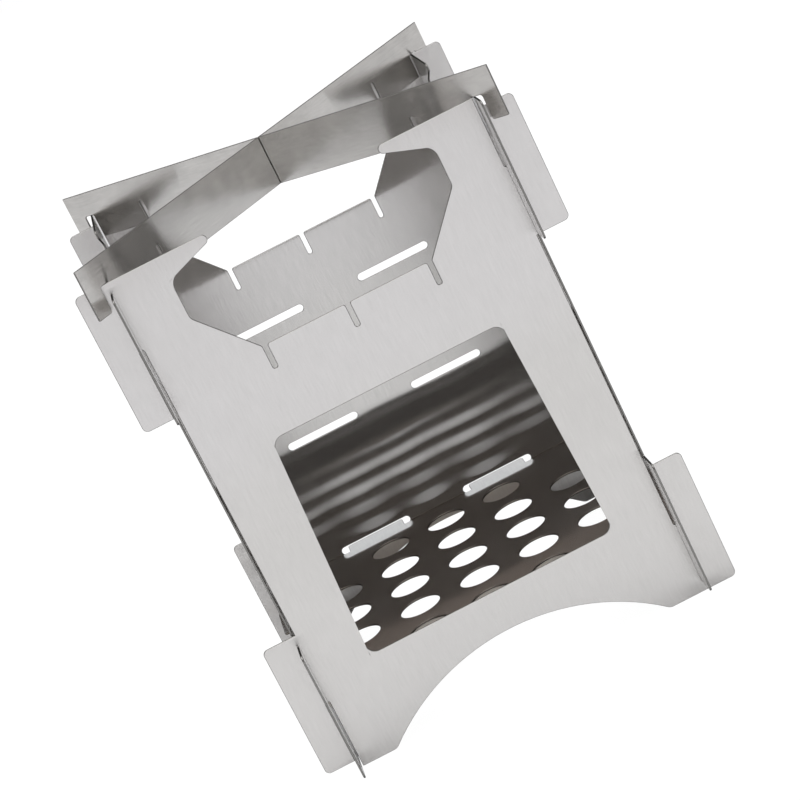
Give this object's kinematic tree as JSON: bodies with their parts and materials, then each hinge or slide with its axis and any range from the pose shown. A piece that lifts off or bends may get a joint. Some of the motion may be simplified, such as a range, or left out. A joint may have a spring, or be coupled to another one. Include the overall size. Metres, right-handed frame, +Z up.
{
  "type": "slot-together wood stove",
  "caption": "Flat-pack camping wood stove: slotted sheet-steel walls locked in a square round a perforated fire grate, under a crossed-plate pot stand.",
  "frame": {"origin": "on the ground under the middle of the stove", "axes": "+Z up; -Y out of the front wall with the feed opening; +X to the right when facing that wall"},
  "size_m": [0.132, 0.132, 0.1676],
  "materials": {
    "wall_steel": "satin, fine upright grain",
    "grate_steel": "satin, fine grain",
    "plate_steel": "satin, fine grain"
  },
  "bodies": {
    "stove": {"front_panel": "wall_steel", "right_panel": "wall_steel", "back_panel": "wall_steel", "left_panel": "wall_steel", "fire_grate": "grate_steel"},
    "lower_cross": {"lower_cross_plate": "plate_steel"},
    "upper_cross": {"upper_cross_plate": "plate_steel"}
  },
  "joints": [
    {"name": "lower_plate_lift", "type": "slide", "parent": "stove", "child": "lower_cross", "axis": [0, 0, 1], "range_m": [0, 0.03]},
    {"name": "upper_plate_lift", "type": "slide", "parent": "lower_cross", "child": "upper_cross", "axis": [0, 0, 1], "range_m": [0, 0.03]}
  ]
}
